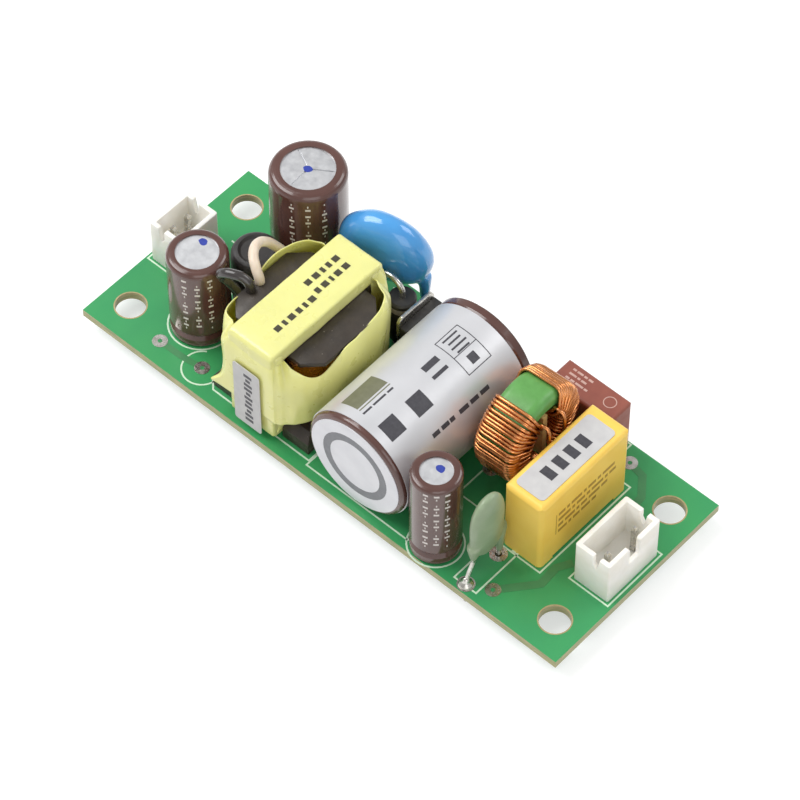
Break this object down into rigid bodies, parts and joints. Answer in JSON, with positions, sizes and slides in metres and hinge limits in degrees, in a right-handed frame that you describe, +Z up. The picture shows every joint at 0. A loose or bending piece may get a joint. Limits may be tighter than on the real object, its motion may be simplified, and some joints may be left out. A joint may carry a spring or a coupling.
{
  "type": "open frame power supply",
  "caption": "Open frame power supply on one circuit board, with a mains header, choke, filter and reservoir capacitors, flyback transformer and output header.",
  "frame": {"origin": "centre of the four mounting holes, on the underside of the board", "axes": "+X along the board towards the mains header, +Y towards the rear long edge, +Z up from the board, away from the solder side"},
  "size_m": [0.0786, 0.0306, 0.0224],
  "materials": {
    "solder_mask": "green solder mask over glass fibre laminate, satin gloss",
    "tin": "tinned copper and solder, bright, slightly dulled",
    "nylon": "moulded nylon, off-white, slightly translucent",
    "film_case": "moulded polyester case with cast resin, yellow",
    "grey_label": "printed label, bare grey",
    "fuse_body": "moulded thermoplastic fuse body, red-brown",
    "thermistor_coat": "dipped resin coat over ceramic, olive green",
    "disc_coat": "dipped epoxy coat, glossy blue",
    "can_aluminium": "drawn aluminium can with its wound element inside",
    "capacitor_sleeve": "shrunk sleeve, dark brown, glossy",
    "seal_rubber": "moulded rubber seal",
    "foil_label": "metallised film label, bare silver",
    "end_label": "round end label, bare pale grey with a plain ring",
    "core_coat": "sprayed epoxy coat over ferrite, green",
    "enamelled_copper": "enamelled copper wire, amber copper colour",
    "fibre_board": "vulcanised fibre divider, tan",
    "ferrite": "ground ferrite, dark grey",
    "bobbin_plastic": "moulded phenolic, black, rough from the mould",
    "film_tape": "polyester film tape, pale yellow, several turns",
    "black_sleeving": "insulated lead, black",
    "white_sleeving": "insulated lead, cream",
    "shrink_black": "wound drum in black shrink sleeve",
    "moulded_black": "transfer-moulded epoxy package, black",
    "moulded_white": "transfer-moulded epoxy package, cream white",
    "chip_ceramic": "chip resistors and capacitors, dark ceramic"
  },
  "bodies": {
    "root": {"board": "solder_mask", "solder_joints": "tin", "ac_header_housing": "nylon", "ac_header_pins": "tin", "dc_header_housing": "nylon", "dc_header_pins": "tin", "film_capacitor_case": "film_case", "film_capacitor_label": "grey_label", "film_capacitor_leads": "tin", "fuse_case": "fuse_body", "fuse_leads": "tin", "thermistor_disc": "thermistor_coat", "thermistor_leads": "tin", "disc_capacitor_body": "disc_coat", "disc_capacitor_leads": "tin", "bulk_capacitor_can": "can_aluminium", "bulk_capacitor_sleeve": "capacitor_sleeve", "bulk_capacitor_bung": "seal_rubber", "bulk_capacitor_leads": "tin", "bulk_capacitor_label": "foil_label", "bulk_capacitor_end_label": "end_label", "supply_capacitor_can": "can_aluminium", "supply_capacitor_sleeve": "capacitor_sleeve", "supply_capacitor_bung": "seal_rubber", "supply_capacitor_leads": "tin", "output_capacitor_can": "can_aluminium", "output_capacitor_sleeve": "capacitor_sleeve", "output_capacitor_bung": "seal_rubber", "output_capacitor_leads": "tin", "filter_capacitor_can": "can_aluminium", "filter_capacitor_sleeve": "capacitor_sleeve", "filter_capacitor_bung": "seal_rubber", "filter_capacitor_leads": "tin", "choke_core": "core_coat", "choke_front_winding": "enamelled_copper", "choke_back_winding": "enamelled_copper", "choke_divider": "fibre_board", "transformer_upper_core": "ferrite", "transformer_lower_core": "ferrite", "transformer_bobbin": "bobbin_plastic", "transformer_pins": "tin", "transformer_winding": "enamelled_copper", "transformer_winding_tape": "film_tape", "transformer_core_tape": "film_tape", "transformer_label": "grey_label", "transformer_black_lead": "black_sleeving", "transformer_white_lead": "white_sleeving", "output_inductor": "shrink_black", "output_inductor_leads": "tin", "snubber_diode_body": "moulded_black", "snubber_diode_leads": "tin", "power_transistor_body": "moulded_black", "power_transistor_frame": "tin", "bridge_rectifier": "moulded_black", "controller_ic": "moulded_black", "optocoupler": "moulded_white", "output_rectifier": "moulded_black", "chip_components": "chip_ceramic", "surface_mount_terminals": "tin"}
  },
  "joints": []
}
